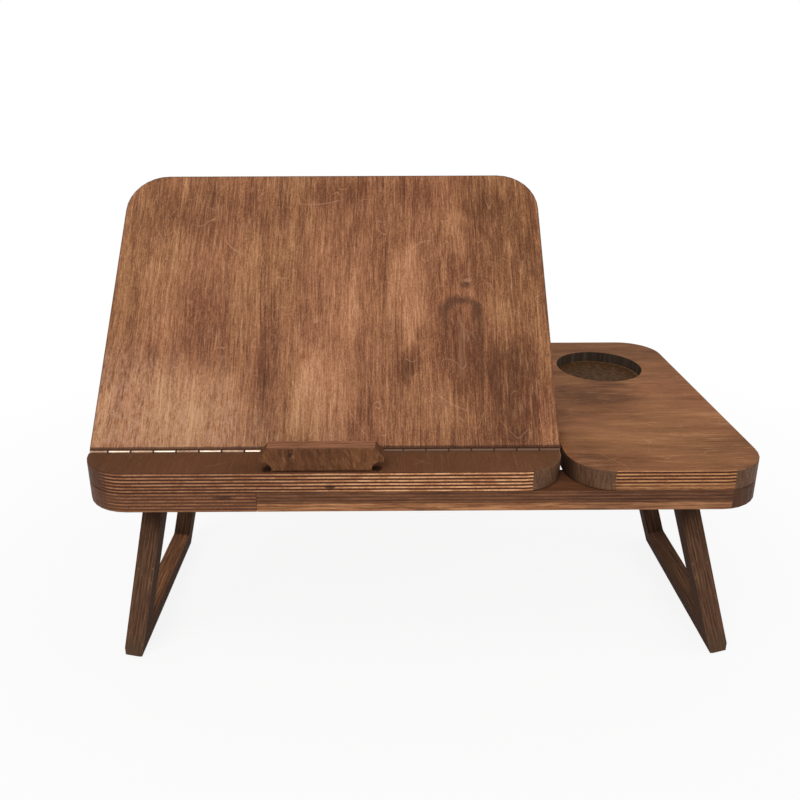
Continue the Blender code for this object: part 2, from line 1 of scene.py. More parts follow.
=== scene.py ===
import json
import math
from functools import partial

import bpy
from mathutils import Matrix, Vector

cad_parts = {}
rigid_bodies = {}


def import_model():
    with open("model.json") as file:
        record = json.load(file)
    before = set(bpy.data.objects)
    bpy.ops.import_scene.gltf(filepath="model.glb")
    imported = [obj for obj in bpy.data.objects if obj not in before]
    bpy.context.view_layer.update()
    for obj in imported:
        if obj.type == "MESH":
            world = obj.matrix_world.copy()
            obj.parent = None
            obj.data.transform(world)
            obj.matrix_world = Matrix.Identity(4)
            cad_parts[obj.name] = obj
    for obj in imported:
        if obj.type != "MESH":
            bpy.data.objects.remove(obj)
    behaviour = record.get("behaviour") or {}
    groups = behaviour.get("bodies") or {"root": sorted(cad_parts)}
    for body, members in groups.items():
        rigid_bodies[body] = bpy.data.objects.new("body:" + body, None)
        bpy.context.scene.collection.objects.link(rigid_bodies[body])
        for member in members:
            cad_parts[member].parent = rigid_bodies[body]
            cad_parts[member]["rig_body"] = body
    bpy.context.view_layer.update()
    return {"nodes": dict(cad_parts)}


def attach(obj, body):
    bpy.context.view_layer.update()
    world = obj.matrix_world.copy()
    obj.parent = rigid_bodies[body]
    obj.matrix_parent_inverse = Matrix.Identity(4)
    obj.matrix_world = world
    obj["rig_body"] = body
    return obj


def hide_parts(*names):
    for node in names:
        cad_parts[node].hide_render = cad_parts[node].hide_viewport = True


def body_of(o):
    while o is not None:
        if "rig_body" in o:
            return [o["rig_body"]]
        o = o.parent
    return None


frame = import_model()

# %% [markdown]
# # A folding laptop table of stained plywood
# The table has a front bar, a panel that tilts on a piano hinge, a side panel with a cup recess, a second
# layer of plywood below them, and two splayed leg frames. The frame that was just loaded holds all these
# as measured solids on their moving bodies. This lesson adds the camera, the light and the finishes, and
# models the small pieces whose shape has to be finer than a measured solid.

nodes = frame["nodes"]

# %% [markdown]
# ## The camera
# The table was photographed from in front, a little left of its middle, from about half a metre above its
# top. Perspective is strong because the camera was near, so a long lens can't be used instead. The lens
# and the place below come from the corners of the boards. A small shift centres the picture as in the
# photograph without turning the camera.

# %% Camera
picture_size = 800
focal_pixels = 748.47
centre_pixels = (392.05, 332.08)
camera_place = (-0.035426, -0.70771, 0.54281)
camera_yaw = math.radians(0.2266)
camera_pitch = math.radians(18.3376)
camera_roll = math.radians(-0.1934)

camera_data = bpy.data.cameras.new("photo_camera")
camera = bpy.data.objects.new("photo_camera", camera_data)
bpy.context.scene.collection.objects.link(camera)
camera_data.sensor_width = 36
camera_data.lens = focal_pixels / picture_size * camera_data.sensor_width
camera_data.shift_x = 0.5 - centre_pixels[0] / picture_size
camera_data.shift_y = centre_pixels[1] / picture_size - 0.5
camera_data.clip_start = 0.01
turn = Matrix.Rotation(-camera_yaw, 4, "Z") @ Matrix.Rotation(math.pi / 2 - camera_pitch, 4, "X")
camera.matrix_world = Matrix.Translation(camera_place) @ turn @ Matrix.Rotation(camera_roll, 4, "Z")
bpy.context.scene.camera = camera
print("lens", round(camera_data.lens, 2), "mm")

# %% [markdown]
# ## Shader sums as plain sums
# A stained board is a solid texture: its colour depends on how deep a point lies in the plies and on the
# way the surface faces. That takes many small sums. Wiring each Math node by hand hides the idea, so a
# small class wraps a socket and turns ordinary operators into nodes.

# %% Wire: a socket that can be added, multiplied and compared
class Wire:
    """One output socket, with the sums that shader maths needs."""

    def __init__(self, wiring, socket):
        self.wiring = wiring
        self.socket = socket

    def math(self, operation, *others):
        """A Math node whose first value is this socket."""
        return self.wiring.node("ShaderNodeMath", {"operation": operation}, (self, *others))

    def __add__(self, other):
        return self.math("ADD", other)

    __radd__ = __add__

    def __sub__(self, other):
        return self.math("SUBTRACT", other)

    def __rsub__(self, other):
        return self.wiring.node("ShaderNodeMath", {"operation": "SUBTRACT"}, (other, self))

    def __mul__(self, other):
        return self.math("MULTIPLY", other)

    __rmul__ = __mul__

    def __truediv__(self, other):
        return self.math("DIVIDE", other)

    def __abs__(self):
        return self.math("ABSOLUTE")


def span(x, y):
    """How far x and y, at right angles, reach together."""
    return (x * x + y * y).math("SQRT")


print("a socket takes + - * / and abs, and 1 - socket works too")


# %% [markdown]
# ## Nodes, filled in by Python
# Every node of a material or of the world comes from one method. It sets the node's own settings first
# and its sockets after, so that a Mix node already has its colour sockets when they are filled. A finish is
# such a wiring that starts as a Principled shader.

# %% Colours as they look on a screen
def paint(red, green, blue):
    """A colour as it looks on a screen, from 0 to 255, turned into light."""
    shares = [value / 255 for value in (red, green, blue)]
    return tuple(s / 12.92 if s <= 0.04045 else ((s + 0.055) / 1.055) ** 2.4 for s in shares) + (1,)


print("a mid brown on screen is", [round(value, 3) for value in paint(146, 101, 73)], "as light")


# %% Wiring: a node tree and the nodes used here
class Wiring:
    """A node tree that is filled in by Python."""

    def __init__(self, tree):
        self.tree = tree

    def node(self, kind, settings=None, values=(), output=0):
        """A node of this kind; values are numbers, colours or Wires for its sockets."""
        made = self.tree.nodes.new(kind)
        for key, value in (settings or {}).items():
            if key == "stops":
                self.set_stops(made.color_ramp, value)
            else:
                setattr(made, key, value)
        pairs = values.items() if isinstance(values, dict) else enumerate(values)
        for key, value in pairs:
            if isinstance(value, Wire):
                self.tree.links.new(value.socket, made.inputs[key])
            else:
                made.inputs[key].default_value = value
        return Wire(self, made.outputs[output])

    def set_stops(self, ramp, stops):
        while len(ramp.elements) < len(stops):
            ramp.elements.new(1)
        for element, (position, colour) in zip(ramp.elements, stops):
            element.position = position
            element.color = colour

    def dot(self, wire, direction):
        """How far a place lies in this direction."""
        settings = {"operation": "DOT_PRODUCT"}
        return self.node("ShaderNodeVectorMath", settings, {0: wire, 1: direction}, output="Value")

    def point(self, x, y, z):
        return self.node("ShaderNodeCombineXYZ", None, (x, y, z))

    def noise(self, place, detail=2.0, roughness=0.5):
        """Noise of one wave per unit; the place is stretched to scale it."""
        values = {"Vector": place, "Scale": 1.0, "Detail": detail, "Roughness": roughness}
        return self.node("ShaderNodeTexNoise", None, values)

    def waves(self, ways, counts, detail, roughness):
        """Noise with so many waves in a metre along each of three ways."""
        return self.noise(self.point(*[way * count for way, count in zip(ways, counts)]), detail, roughness)

    def step(self, value, low, high):
        """0 below low, 1 above high and a soft slope between."""
        settings = {"interpolation_type": "SMOOTHSTEP"}
        return self.node("ShaderNodeMapRange", settings, {0: value, 1: low, 2: high})

    def below(self, value, low, high):
        """1 below low, 0 above high and a soft slope between."""
        return 1 - self.step(value, low, high)

    def blend(self, factor, first, second, mode="MIX"):
        """Two colours mixed; a factor of 1 gives the second."""
        settings = {"data_type": "RGBA", "blend_type": mode}
        return self.node("ShaderNodeMix", settings, {0: factor, 6: first, 7: second}, output=2)

    def wash(self, factor, colour, shares):
        """A colour whose red, green and blue are cut or raised to these shares."""
        return self.blend(factor, colour, (*shares, 1), "MULTIPLY")

    def mix(self, factor, first, second):
        """Two numbers mixed."""
        return first + (second - first) * factor

    def ramp(self, value, stops):
        """A colour ramp; each stop is a position and a colour as it looks on a screen."""
        painted = [(position, paint(*colour)) for position, *colour in stops]
        return self.node("ShaderNodeValToRGB", {"stops": painted}, {0: value})

    def seen_by(self, *rays):
        """1 for these kinds of ray, 0 for all others."""
        first, *others = [self.node("ShaderNodeLightPath", output=ray) for ray in rays]
        for other in others:
            first = first.math("MAXIMUM", other)
        return first


print("ways to add a node:", ", ".join(name for name in vars(Wiring) if not name.startswith("_")))


# %% Finish: one material
class Finish(Wiring):
    """A material that starts as a Principled shader."""

    def __init__(self, name, roughness=0.5, metallic=0.0, shine=0.5):
        self.material = bpy.data.materials.new(name)
        self.material.use_nodes = True
        super().__init__(self.material.node_tree)
        self.shader = self.tree.nodes["Principled BSDF"]
        self.shader.inputs["Roughness"].default_value = roughness
        self.shader.inputs["Metallic"].default_value = metallic
        self.shader.inputs["Specular IOR Level"].default_value = shine
        self.place = self.node("ShaderNodeTexCoord", output="Object")

    def feed(self, socket, wire):
        """What changes over the surface goes into this socket of the shader."""
        self.tree.links.new(wire.socket, self.shader.inputs[socket])

    def bump(self, height, distance, strength):
        values = {"Height": height, "Distance": distance, "Strength": strength}
        self.feed("Normal", self.node("ShaderNodeBump", None, values))


def dress(finish, *names):
    """The solids with these names get this finish."""
    for name in names:
        node = nodes[name]
        for slot in node.material_slots:
            slot.material = finish.material
        if not node.material_slots:
            node.data.materials.append(finish.material)
    print(finish.material.name, "on", ", ".join(names), "from", len(finish.tree.nodes), "nodes")


print("solids that wait for a finish:", len(nodes))

# %% [markdown]
# ## Floor and light
# The photograph has a plain white ground. Here a pale floor carries the table, a large soft lamp above the
# sitter's shoulder gives the form, and the world fills the rest. The white behind the table is the colour
# that the camera sees, not more light on the wood, so the brown keeps its depth.

# %% Floor
floor_size = 12
floor_gap = 0.0005
paper_grey = (0.93, 0.93, 0.93, 1)
near_share, shadow_reach, white_reach = 0.88, 0.35, 1.00
bpy.ops.object.select_all(action="DESELECT")
bpy.ops.mesh.primitive_plane_add(size=floor_size, location=(0, 0, -floor_gap))
floor = bpy.context.active_object
floor.name = "floor"
floor_finish = Finish("floor_paper", roughness=0.9, shine=0.0)
floor_finish.shader.inputs["Base Color"].default_value = paper_grey
far = floor_finish.node("ShaderNodeVectorMath", {"operation": "LENGTH"}, (floor_finish.place,),
                        output="Value")
white = floor_finish.mix(floor_finish.step(far, shadow_reach, white_reach), near_share, 1.0)
seen = floor_finish.seen_by("Is Camera Ray", "Is Glossy Ray", "Is Transmission Ray")
paper = Wire(floor_finish, floor_finish.shader.outputs[0])
glow = floor_finish.node("ShaderNodeEmission")
joined = floor_finish.node("ShaderNodeMixShader", None, (seen * white, paper, glow))
floor_finish.tree.links.new(joined.socket, floor_finish.tree.nodes["Material Output"].inputs["Surface"])
floor.data.materials.append(floor_finish.material)
print("floor", floor_size, "m wide, shaded out to", shadow_reach, "m")

# %% World and lamps
light_on_wood = 0.50
world = bpy.data.worlds.new("studio")
bpy.context.scene.world = world
world.use_nodes = True
sky = world.node_tree.nodes["Background"]
sky.inputs["Color"].default_value = (1, 1, 1, 1)
studio = Wiring(world.node_tree)
strength = studio.mix(studio.seen_by("Is Camera Ray", "Is Transmission Ray"), light_on_wood, 1.0)
studio.tree.links.new(strength.socket, sky.inputs["Strength"])


def soft_lamp(name, place, target, size, power):
    """A square lamp at a place, turned to face a target."""
    data = bpy.data.lights.new(name, "AREA")
    data.size = size
    data.energy = power
    lamp = bpy.data.objects.new(name, data)
    bpy.context.scene.collection.objects.link(lamp)
    lamp.location = place
    lamp.rotation_euler = (Vector(target) - Vector(place)).to_track_quat("-Z", "Y").to_euler()
    return lamp


table_middle = (0, 0, 0.24)
lamps = [soft_lamp("lamp_over_shoulder", (-0.7, -1.5, 1.9), table_middle, 1.4, 24),
         soft_lamp("lamp_right", (1.9, -0.3, 1.3), table_middle, 1.2, 7)]
bpy.context.scene.view_settings.view_transform = "Standard"
print("lamps", [(lamp.name, lamp.data.energy) for lamp in lamps])

# %% [markdown]
# ## Stained birch plywood
# Real plywood is thirteen thin sheets with the grain of each across the next. On a face only the outer
# sheet shows, peeled from the log in a wide soft figure. On an edge the sheets show as lines: light where
# the fibres run along the edge and dark where their cut ends drank the stain. Two flat pictures for face
# and edge would never meet at a corner, so the board is coloured as a solid: depth tells the sheet, and
# the way the surface faces tells whether its fibres are cut.

# %% Directions and depth in a board
def board_axes(finish, origin, grain, across):
    """Metres along the grain, across it and up from the lower face, and how far the surface faces each."""
    grain, across, origin = Vector(grain), Vector(across), Vector(origin)
    up = grain.cross(across)
    upright = abs(up.z) < 0.001
    if up.z < 0 or (upright and up.y > 0):
        up = -up
    metres = [finish.dot(finish.place, tuple(axis)) - origin.dot(axis) for axis in (grain, across, up)]
    world_normal = finish.node("ShaderNodeNewGeometry", output="True Normal")
    settings = {"vector_type": "NORMAL", "convert_from": "WORLD", "convert_to": "OBJECT"}
    facing = finish.node("ShaderNodeVectorTransform", settings, (world_normal,))
    turns = [abs(finish.dot(facing, tuple(axis))) for axis in (grain, across, up)]
    return metres, turns


def straight_edge(finish, turns):
    """1 on the edge that runs with the grain, 0 from where a corner turns."""
    return finish.below(turns[0], 0.12, 0.20)


def upper_half(finish, metres, thickness):
    """1 in the upper half of the board, 0 in the lower."""
    return finish.step(metres[2], thickness * 0.4, thickness * 0.6)


print("grain to the right and across to the rear give up", tuple(Vector((1, 0, 0)).cross(Vector((0, 1, 0)))))


# %% [markdown]
# ### The face: peeled birch
# The figure is built in the order in which the eye meets it: wide clouds, long streaks, fibres a few
# millimetres apart, hair lines, and pale flecks where the sanding cut through the stain. Each is the same
# noise with its place stretched along the grain. The streaks are bent by a slow noise first, because
# straight ones look printed.

# %% Layers of the figure
# Each layer: waves in a metre across and along the grain, its seed, and the noise's detail and roughness.
figure_layers = {
    "sway": (9, 4, 0.0, 2, 0.5),
    "cloud": (15, 6, 3.1, 3, 0.55),
    "streak": (84, 9, 7.3, 3, 0.5),
    "fibre": (440, 24, 11.9, 3, 0.6),
    "hair": (900, 70, 17.7, 3, 0.7),
    "dark_line": (520, 6, 37.0, 2, 0.5),
    "pale_line": (560, 13, 61.0, 2, 0.5),
    "pore": (1100, 480, 43.0, 2, 0.6),
    "dash": (460, 42, 23.3, 2, 0.5),
    "dash_place": (26, 18, 29.1, 2, 0.5),
    "curl": (46, 32, 51.0, 0.6, 0.4),
    "curl_place": (60, 40, 53.0, 2, 0.6),
}
sway_width = 0.024


def figure(finish, layer, along, over, seed):
    """One layer of the veneer's figure, about 0.5 on average."""
    across_waves, along_waves, layer_seed, detail, roughness = figure_layers[layer]
    place = finish.point(over * across_waves, along * along_waves, seed + layer_seed)
    return finish.noise(place, detail, roughness)


print("fibres lie about", round(1000 / figure_layers["fibre"][0], 1), "mm apart")


# %% Face tone, flecks and curls
def face_tone(finish, along, over, seed, shares):
    """How light the stained veneer is, about 0.5 on average."""
    cloud_share, streak_share, fibre_share, hair_share = shares
    bent = over + (figure(finish, "sway", along, over, seed) - 0.5) * sway_width
    cloud, streak, fibre = [figure(finish, layer, along, bent, seed) - 0.5
                            for layer in ("cloud", "streak", "fibre")]
    hair, pore = [figure(finish, layer, along, over, seed) - 0.5 for layer in ("hair", "pore")]
    dark = finish.step(figure(finish, "dark_line", along, bent, seed), 0.62, 0.74)
    pale = finish.step(figure(finish, "pale_line", along, bent, seed), 0.60, 0.74)
    return (0.5 + cloud * cloud_share + streak * streak_share + fibre * fibre_share
            + (hair + pore * 0.7) * hair_share + (pale - dark) * fibre_share * 0.35)


def flecks(finish, along, over, seed):
    """Short pale dashes, more of them in some places."""
    dash = finish.step(figure(finish, "dash", along, over, seed), 0.54, 0.74)
    return dash * finish.step(figure(finish, "dash_place", along, over, seed), 0.36, 0.62)


def curls(finish, along, over, seed):
    """Curly pale hairs, left by a round sander: the thin contour lines of a noise, in some places only."""
    thin = finish.below(abs(figure(finish, "curl", along, over, seed) - 0.5), 0.002, 0.009)
    return thin * finish.step(figure(finish, "curl_place", along, over, seed), 0.46, 0.64)


print("a board's face mixes", len(figure_layers), "layers of noise")


# %% [markdown]
# ### The edge: thirteen sheets
# Eleven inner sheets are equally thick, and the two outer veneers were sanded thin. The sheet number is
# depth over sheet thickness, rounded down. A little noise is added to the depth first, because glue lines
# are never ruler straight. Even sheets run with the face grain and odd ones across it. A sheet is light
# only where the edge runs along its fibres. A rounded corner cuts every sheet, so it is dull all over, with
# the fine upright marks of the router. Where the sander came in before the corner, the lines fade out over
# a stretch that each board names.

# %% Colours of the sheets
sheet_pitch = 0.00154


def sheet_colours(light, amber, cut, deep, corner, corner_deep):
    """Light and amber: fibres along the edge; cut and deep: cut ends; the others: a rounded corner."""
    named = {"light": light, "amber": amber, "cut": cut, "deep": deep, "corner": corner,
             "corner_deep": corner_deep}
    return {name: paint(*colour) for name, colour in named.items()}


bright_ply = sheet_colours((232, 180, 134), (184, 128, 88), (96, 55, 37), (58, 34, 26), (116, 86, 66),
                           (86, 62, 47))
dull_ply = sheet_colours((156, 108, 76), (126, 84, 58), (98, 62, 45), (70, 44, 34), (100, 67, 48),
                         (76, 50, 36))
leg_ply = sheet_colours((124, 92, 71), (110, 81, 63), (100, 73, 58), (88, 63, 50), (104, 74, 56),
                        (78, 54, 41))
print("an inner sheet is", round(sheet_pitch * 1000, 2), "mm thick")


# %% Edge colour
glue_wobble = 0.30
fade_wobble = 0.010
sheet_seed = 3.7
line_width = (0.36, 0.49)
corner_turn = (0.09, 0.17)


def edge_colour(finish, metres, turns, thickness, sheets, seed, ply, fade):
    """The edge's colour; fade is an axis, and where along it the lines are full and where they are gone."""
    along, over, depth = metres
    outer = (thickness - (sheets - 2) * sheet_pitch) / 2
    wobble = finish.noise(finish.point(along * 20, over * 20, depth * 60 + seed), 3)
    layer = (depth + (sheet_pitch - outer)) / sheet_pitch + (wobble - 0.5) * glue_wobble
    number = layer.math("FLOOR")
    within = layer.math("FRACT")
    odd = number.math("PINGPONG", 1.0)
    cut = finish.mix(odd, turns[0], turns[1])
    stain = finish.noise(finish.point(along * 60, over * 60, number * sheet_seed + seed), 3, 0.65)
    nick = finish.waves(metres, (520, 520, 900), 2, 0.6)
    tick = finish.noise(finish.point(along * 230, over * 230, depth * 1300 + seed), 3, 0.65)
    lit = finish.step(stain * 0.55 + nick * 0.15 + tick * 0.30, 0.42, 0.58)
    fibres = finish.blend(lit, ply["amber"], ply["light"])
    cut_ends = finish.blend(finish.step(nick, 0.36, 0.64), ply["deep"], ply["cut"])
    sheet = finish.blend(finish.step(cut, 0.30, 0.60), fibres, cut_ends)
    line = finish.step(abs(within - 0.5), *line_width)
    sheet = finish.blend(line * 0.65, sheet, ply["deep"])
    sheet = finish.blend(finish.step(tick, 0.54, 0.72) * 0.35, sheet, ply["cut"])
    upright = finish.noise(finish.point(along * 620, over * 620, depth * 110 + seed), 3, 0.65)
    rounded = finish.blend(finish.step(upright, 0.32, 0.68), ply["corner_deep"], ply["corner"])
    rounded = finish.blend(odd * 0.22, rounded, ply["corner_deep"])
    corner = finish.step(turns[0] * turns[1], *corner_turn)
    if fade:
        axis, full, none = fade
        place = metres[axis] + (upright - 0.5) * fade_wobble
        gone = finish.step((place - full) / (none - full), 0.0, 1.0)
        gone = gone * finish.step(turns[1 - axis], 0.05, 0.15)
        near = finish.below(abs(metres[axis] - none), 0.045, 0.055)
        corner = finish.mix(near, corner, gone)
    return finish.blend(corner, sheet, rounded)


print("a board of 18 mm has outer veneers of", round(9 - 11 / 2 * sheet_pitch * 1000, 2), "mm")


# %% [markdown]
# ### One finish for each board
# Every board was cut from its own part of a sheet, so each gets its own seed and grain direction. The
# blotches are places where the maker's cloth left more stain or less: each is a soft oval with a noisy
# rim, given in metres on the board. A scratch is part of a thin ring, since a hand wipes in arcs. The
# underside is another veneer, so its figure is read from a place far along the same noise.

# %% Blotches and scratches
rim_noise = 1.5


def oval(finish, metres, seed, centre, half):
    """1 inside a soft oval on a board's face, 0 outside."""
    across = (metres[1] - centre[0]) / half[0]
    along = (metres[0] - centre[1]) / half[1]
    rough = finish.noise(finish.point(metres[1] * 70, metres[0] * 16, seed), 3, 0.6)
    return finish.below(across * across + along * along + (rough - 0.5) * rim_noise, 0.15, 1.15)


def scratch(finish, metres, seed, centre, radius, middle, half):
    """1 on a thin arc round a centre, near the middle of the arc."""
    far = span(metres[1] - centre[0], metres[0] - centre[1])
    thin = finish.below(abs(far - radius), 0.0002, 0.0009)
    return thin * oval(finish, metres, seed, middle, half)


print("a blotch's rim noise is", rim_noise)


# %% Plywood finish
panel_stops = ((0.18, 84, 53, 39), (0.38, 117, 77, 55), (0.50, 145, 101, 73), (0.64, 173, 127, 95),
               (0.84, 206, 164, 130))
base_stops = ((0.28, 66, 42, 30), (0.50, 102, 68, 47), (0.74, 136, 92, 62))
pale_fleck = paint(200, 156, 122)
other_veneer = 2.0
warm_light = (1.03, 0.965, 0.90)
red_wash = (1.0, 0.93, 0.90, 1)
gold_wash = (1.0, 1.0, 0.90, 1)
fibre_height = 0.00012
flat_from = (0.72, 0.86)
print("the fibres stand", round(fibre_height * 1000, 2), "mm high")


def plywood(name, origin, grain, across, seed, thickness=0.018, sheets=13, shade=1.0, stops=base_stops,
            blotches=(), shares=(0.30, 0.30, 0.30, 0.30), flecked=0.08, ply=dull_ply, extra=None,
            roughness=0.55, fade=None, shine=0.10, rough_end=None):
    """A stained board: origin is a point on its lower face, grain and across are its directions."""
    finish = Finish(name, roughness=roughness, shine=shine)
    metres, turns = board_axes(finish, origin, grain, across)
    veneer = (metres[0] + (1 - upper_half(finish, metres, thickness)) * other_veneer, metres[1])
    tone = face_tone(finish, *veneer, seed, shares)
    for number, (centre, half, lift) in enumerate(blotches):
        tone = tone + oval(finish, veneer, seed + number, centre, half) * lift
    face = finish.ramp(tone, stops)
    hue = finish.noise(finish.point(veneer[1] * 14, veneer[0] * 5, seed + 41.0), 2)
    wash = finish.blend(finish.step(hue, 0.36, 0.64), red_wash, gold_wash)
    face = finish.blend(1.0, face, wash, "MULTIPLY")
    face = finish.blend(flecks(finish, *veneer, seed) * flecked, face, pale_fleck)
    face = finish.blend(curls(finish, *veneer, seed) * flecked, face, pale_fleck)
    edge = edge_colour(finish, metres, turns, thickness, sheets, seed, ply, fade)
    if extra:
        face, edge = extra(finish, metres, turns, face, edge)
    colour = finish.blend(finish.step(turns[2], *flat_from), edge, face)
    finish.feed("Base Color", finish.wash(1.0, colour, [shade * share for share in warm_light]))
    fibre = finish.noise(finish.point(metres[1] * 900, metres[0] * 40, metres[2] * 900 + seed), 3, 0.6)
    rough = finish.mix(finish.step(fibre, 0.3, 0.7), roughness - 0.07, roughness + 0.09)
    if rough_end:
        rough = finish.mix(finish.below(metres[0], *rough_end), rough, 1.0)
    finish.feed("Roughness", rough)
    finish.bump(fibre, fibre_height, 0.5)
    return finish


# %% [markdown]
# ### The laptop panel
# The grain runs from the hinge to the rear edge. Right of the middle the peeler passed near a knot: the
# figure closes there in an arch with a dark crown, two fading legs and a light heart, and a small eye sits
# above it. Left of the middle lies a dark reddish stripe, and between the two the stain is thin and golden.
# Near the hinge at the left the wood is chalky where the cloth rubbed it dry.

# %% Laptop panel
panel_tilt = math.radians(49)
hinge_place = Vector((-0.091526, -0.1225, 0.2403))
board_thickness = 0.018
panel_grain = Vector((0, math.cos(panel_tilt), math.sin(panel_tilt)))
panel_up = Vector((0, -math.sin(panel_tilt), math.cos(panel_tilt)))
knot = (0.1235, 0.1300)
knot_radius = 0.0150
knot_eye = ((0.129, 0.160), (0.0055, 0.0035))
eye_spark = ((0.131, 0.165), (0.0050, 0.0026))
heart_width, heart_start, heart_end = (0.0008, 0.0035), (0.055, 0.075), (0.122, 0.134)
chalky_corner = ((-0.170, 0.015), (0.130, 0.085))
hinge_shadow_strip = (0.0034, 0.0050)
panel_half, panel_reach, panel_corner = 0.205, 0.284, 0.039
# Each scratch: its arc's centre and radius, then the middle and half size of the oval in which it shows.
panel_scratches = (
    ((-0.112, 0.004), 0.0130, (-0.112, 0.016), (0.016, 0.009)),
    ((0.150, 0.110), 0.0780, (0.110, 0.044), (0.024, 0.022)),
    ((0.100, 0.180), 0.0290, (0.085, 0.203), (0.018, 0.014)),
    ((-0.060, 0.240), 0.0530, (-0.094, 0.203), (0.018, 0.014)),
    ((-0.020, 0.330), 0.0800, (-0.010, 0.250), (0.030, 0.012)),
)


def knot_arch(finish, metres, turns, face, edge):
    """The knot's arch and eye, the chalky corner and the scratches, all on the upper veneer; a painted shadow
    along the hinge edge.
    """
    plain = face
    sway = finish.noise(finish.point(metres[1] * 70, metres[0] * 40, 4.4), 3, 0.6) - 0.5
    over = metres[1] - knot[0] + sway * 0.010
    beyond = (metres[0] - knot[1] + sway * 0.012).math("MAXIMUM", 0.0)
    rim = finish.below(abs(span(over, beyond) - knot_radius), 0.001, 0.0085)
    fade = finish.step(metres[0], 0.040, 0.120) * 0.25 + finish.step(metres[0], 0.118, 0.138) * 0.40
    heart = finish.below(abs(over + 0.001), *heart_width) * finish.step(metres[0], *heart_start)
    heart = heart * finish.below(metres[0], *heart_end)
    face = finish.blend(rim * fade, face, paint(66, 42, 34))
    face = finish.blend(heart * 0.20, face, paint(184, 140, 110))
    face = finish.blend(oval(finish, metres, 1.7, *knot_eye) * 0.55, face, paint(66, 42, 34))
    face = finish.blend(oval(finish, metres, 2.9, *eye_spark) * 0.32, face, paint(196, 152, 126))
    powder = finish.noise(finish.point(metres[1] * 420, metres[0] * 130, 6.1), 3, 0.7)
    chalk = finish.step(powder, 0.38, 0.66) * oval(finish, metres, 6.1, *chalky_corner)
    face = finish.blend(chalk * 0.45, face, paint(208, 168, 142))
    for number, arc in enumerate(panel_scratches):
        face = finish.blend(scratch(finish, metres, 60.0 + number, *arc) * 0.28, face, paint(204, 164, 136))
    # Painted shadow: the lowest few millimetres of the panel, over the gap at the hinge's barrel, are
    # darkened.
    hinge_shadow = finish.below(metres[0] + sway * 0.0016, *hinge_shadow_strip)
    sideways = (abs(metres[1]) - (panel_half - panel_corner)).math("MAXIMUM", 0.0)
    rearward = (metres[0] - (panel_reach - panel_corner)).math("MAXIMUM", 0.0)
    border = finish.step(span(sideways, rearward), panel_corner - 0.0018, panel_corner - 0.0004)
    face = finish.blend(border * 0.65, face, paint(70, 44, 31))
    face = finish.blend(upper_half(finish, metres, board_thickness), plain, face)
    return finish.blend(hinge_shadow * 0.8, face, paint(62, 38, 28)), edge


# Each blotch: its middle across and along the grain, its half size, and how much lighter it is.
panel_blotches = (
    ((-0.055, 0.090), (0.013, 0.066), -0.11),
    ((-0.110, 0.110), (0.030, 0.080), -0.07),
    ((-0.005, 0.050), (0.034, 0.065), 0.12),
    ((0.020, 0.130), (0.012, 0.050), 0.08),
    ((0.074, 0.150), (0.022, 0.060), 0.11),
    ((0.122, 0.225), (0.012, 0.045), 0.08),
    ((0.077, 0.085), (0.011, 0.018), -0.11),
    ((0.071, 0.072), (0.009, 0.014), -0.08),
    ((0.086, 0.110), (0.007, 0.010), -0.07),
    ((-0.023, 0.088), (0.0035, 0.0030), -0.09),
    ((0.125, 0.090), (0.030, 0.060), -0.09),
    ((0.172, 0.050), (0.034, 0.070), -0.16),
    ((0.160, 0.205), (0.050, 0.066), -0.12),
    ((0.130, 0.262), (0.080, 0.030), -0.07),
    ((0.020, 0.262), (0.060, 0.018), -0.05),
    ((-0.130, 0.240), (0.080, 0.035), -0.07),
    ((-0.150, 0.080), (0.008, 0.060), 0.06),
    # This blotch lightens the lower left near the hinge: thinner stain together with a painted light
    # gradient.
    ((-0.140, 0.030), (0.090, 0.060), 0.13),
    ((0.120, 0.012), (0.050, 0.014), -0.05),
)
panel_finish = plywood("laptop_panel_stain", hinge_place - panel_up * board_thickness, panel_grain, (1, 0, 0),
                       2.7, stops=panel_stops, blotches=panel_blotches, shares=(0.27, 0.28, 0.36, 0.66),
                       flecked=0.40, extra=knot_arch)
dress(panel_finish, "laptop_panel")

# %% [markdown]
# ### The boards of the top and the layer below
# The side panel's grain runs from left to right. Its cup recess was burnt by the cutter, so its wall is
# nearly black and its floor a mottled dark brown. The front bar was cut from the same sheet as the laptop
# panel, with the grain from front to rear, and took more stain. Its front edge is brighter towards the
# right, and one sheet has a gap in its core there. The right board of the lower layer shows a dark band
# over a tan one in its front edge.

# %% Side panel with the burnt recess
upper_bottom = 0.2223
lower_bottom = 0.2040
table_top = 0.2403
cup_centre = (0.200274, 0.080)
cup_radius = 0.0464
tan_height, tan_start = (0.0045, 0.0075), (0.1500, 0.1560)
shaded_end, gap_shadow_end = (0.118, 0.146), (0.1175, 0.1235)


